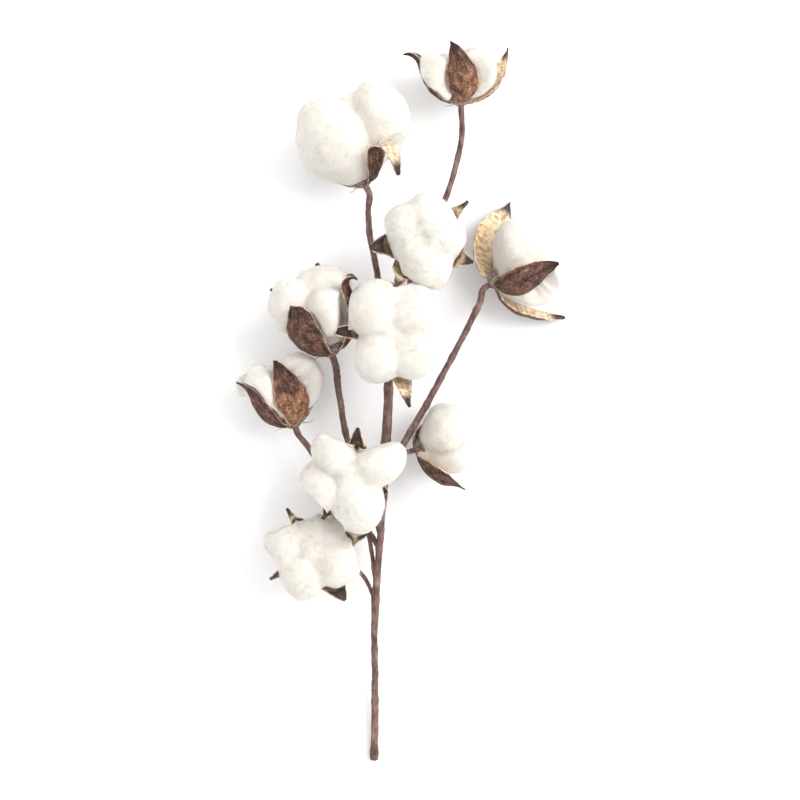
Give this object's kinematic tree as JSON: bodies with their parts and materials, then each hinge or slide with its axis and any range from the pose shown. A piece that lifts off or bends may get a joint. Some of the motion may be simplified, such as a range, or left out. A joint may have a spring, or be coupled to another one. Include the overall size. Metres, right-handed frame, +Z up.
{
  "type": "cotton stem",
  "caption": "Dried cotton branch lying down: woody forked stem with open bolls, each a brown bur with pointed valves holding puffed white lint.",
  "frame": {"origin": "on the table under the middle of the branch's box", "axes": "+Z up from the table, the shortest way; +Y along the branch from its cut end to its top boll, the longest way"},
  "size_m": [0.2321, 0.5003, 0.0961],
  "materials": {
    "bark": "dry matte bark",
    "bur": "dry satin husk",
    "lint": "soft matte fibre"
  },
  "bodies": {
    "root": {"branch": "bark", "bur_top": "bur", "bur_upper_left": "bur", "bur_upper_middle": "bur", "bur_right": "bur", "bur_middle": "bur", "bur_left": "bur", "bur_far_left": "bur", "bur_lower_middle": "bur", "bur_bottom_left": "bur", "bur_lower_right": "bur", "cotton_top": "lint", "cotton_upper_left": "lint", "cotton_upper_middle": "lint", "cotton_right": "lint", "cotton_middle": "lint", "cotton_left": "lint", "cotton_far_left": "lint", "cotton_lower_middle": "lint", "cotton_bottom_left": "lint", "cotton_lower_right": "lint"}
  },
  "joints": []
}
